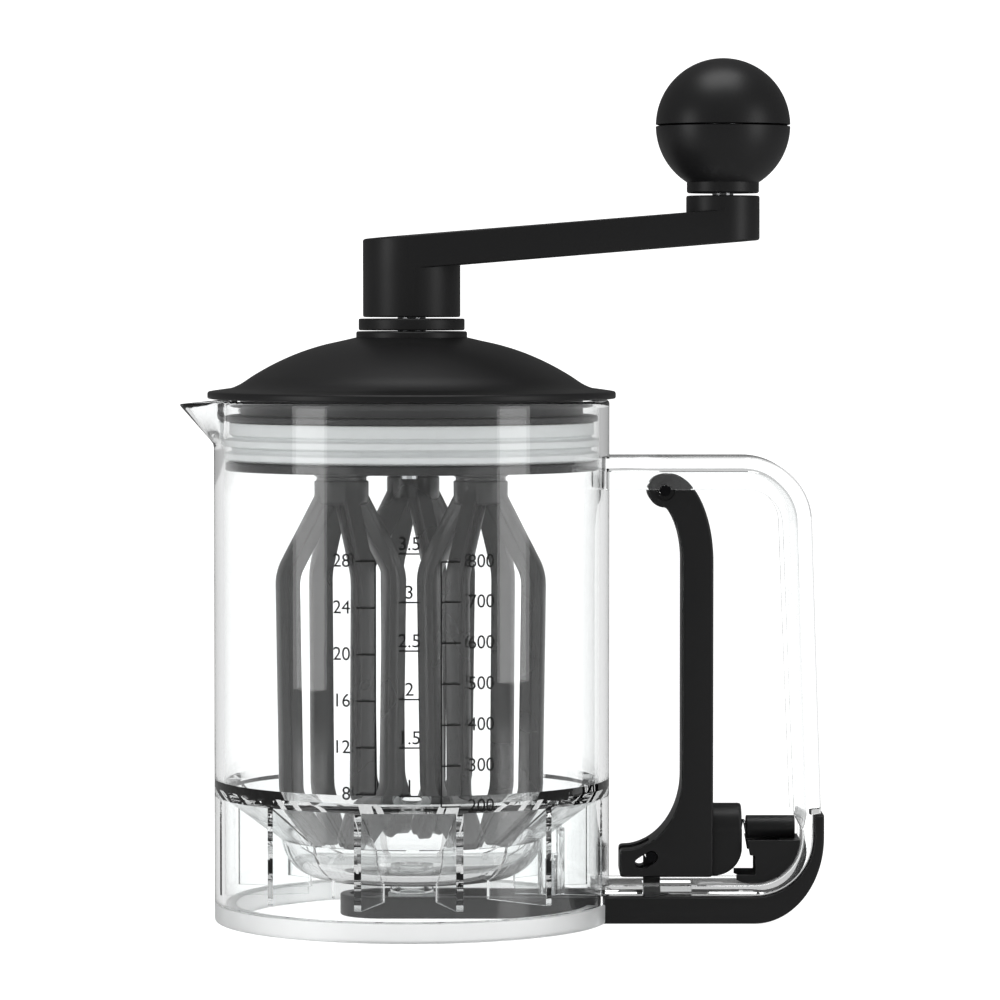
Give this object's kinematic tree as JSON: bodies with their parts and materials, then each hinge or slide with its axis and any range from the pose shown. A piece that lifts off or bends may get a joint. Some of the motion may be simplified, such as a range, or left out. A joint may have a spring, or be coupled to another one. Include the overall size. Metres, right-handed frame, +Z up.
{
  "type": "hand-crank whisk jug",
  "caption": "Clear whisk jug with a hand crank and geared whisks in its lift-off lid, a side handle and a squeeze lever that opens a slide valve in the base.",
  "frame": {"origin": "middle of the object's footprint box, on the surface that it stands on", "axes": "+Z up, along the crank's axis; +X from the pouring lip towards the handle; +Y to the back"},
  "size_m": [0.1828, 0.1156, 0.2441],
  "materials": {
    "clear_plastic": "clear, polished",
    "frosted_plastic": "translucent, milky",
    "black_plastic": "satin moulded",
    "black_nylon": "semi-gloss moulded",
    "silicone": "translucent, satin",
    "steel": "turned",
    "acetal": "moulded"
  },
  "bodies": {
    "jug": {"jug_body": "clear_plastic", "handle_loop": "clear_plastic", "foot_ring": "frosted_plastic", "base_bracket": "black_plastic", "spring_guide": "black_plastic", "valve_seal": "silicone", "lever_pin": "steel", "bracket_screw_front": "steel", "bracket_screw_rear": "steel", "lever_spring": "steel"},
    "lever": {"lever": "black_plastic"},
    "slide": {"valve_slide": "black_nylon", "slide_pin": "steel"},
    "lid": {"lid_dome": "black_plastic", "gear_housing": "black_plastic", "lid_seal": "silicone", "gear_cover": "black_plastic", "cover_screw_1": "steel", "cover_screw_2": "steel", "cover_screw_3": "steel"},
    "crank": {"crank_arm": "black_plastic", "crank_collar": "black_plastic", "drive_shaft": "steel", "sun_gear": "acetal", "knob_pin": "steel"},
    "knob": {"knob_lower": "black_plastic", "knob_upper": "black_plastic"},
    "left_whisk": {"whisk_left": "black_nylon", "whisk_shaft_left": "steel", "pinion_left": "acetal"},
    "right_whisk": {"whisk_right": "black_nylon", "whisk_shaft_right": "steel", "pinion_right": "acetal"},
    "rear_whisk": {"whisk_rear": "black_nylon", "whisk_shaft_rear": "steel", "pinion_rear": "acetal"}
  },
  "joints": [
    {"name": "lid_lift", "type": "slide", "parent": "jug", "child": "lid", "axis": [0, 0, 1], "range_m": [0, 0.14]},
    {"name": "crank_turn", "type": "hinge", "parent": "lid", "child": "crank", "pos_m": [-0.025, 0, 0.17], "axis": [0, 0, 1], "continuous": true},
    {"name": "knob_spin", "type": "hinge", "parent": "crank", "child": "knob", "pos_m": [0.063, 0, 0.2251], "axis": [0, 0, 1], "continuous": true},
    {"name": "whisk_left_spin", "type": "hinge", "parent": "lid", "child": "left_whisk", "pos_m": [-0.04449, -0.01125, 0.125], "axis": [0, 0, 1], "continuous": true},
    {"name": "whisk_right_spin", "type": "hinge", "parent": "lid", "child": "right_whisk", "pos_m": [-0.00551, -0.01125, 0.125], "axis": [0, 0, 1], "continuous": true},
    {"name": "whisk_rear_spin", "type": "hinge", "parent": "lid", "child": "rear_whisk", "pos_m": [-0.025, 0.0225, 0.125], "axis": [0, 0, 1], "continuous": true},
    {"name": "lever_squeeze", "type": "hinge", "parent": "jug", "child": "lever", "pos_m": [0.0465, 0, 0.1223], "axis": [0, -1, 0], "range_deg": [0, 4.5], "stiffness_Nm_per_rad": 4, "springref_deg": -8.59, "deforming": ["lever_spring"]},
    {"name": "valve_draw", "type": "slide", "parent": "jug", "child": "slide", "axis": [1, 0, 0], "range_m": [0, 0.0082]}
  ],
  "couplings": [
    {"joint": "whisk_left_spin", "follows": "crank_turn", "ratio": -2},
    {"joint": "whisk_right_spin", "follows": "crank_turn", "ratio": -2},
    {"joint": "whisk_rear_spin", "follows": "crank_turn", "ratio": -2},
    {"joint": "valve_draw", "follows": "lever_squeeze", "m_per_rad": 0.1037}
  ]
}
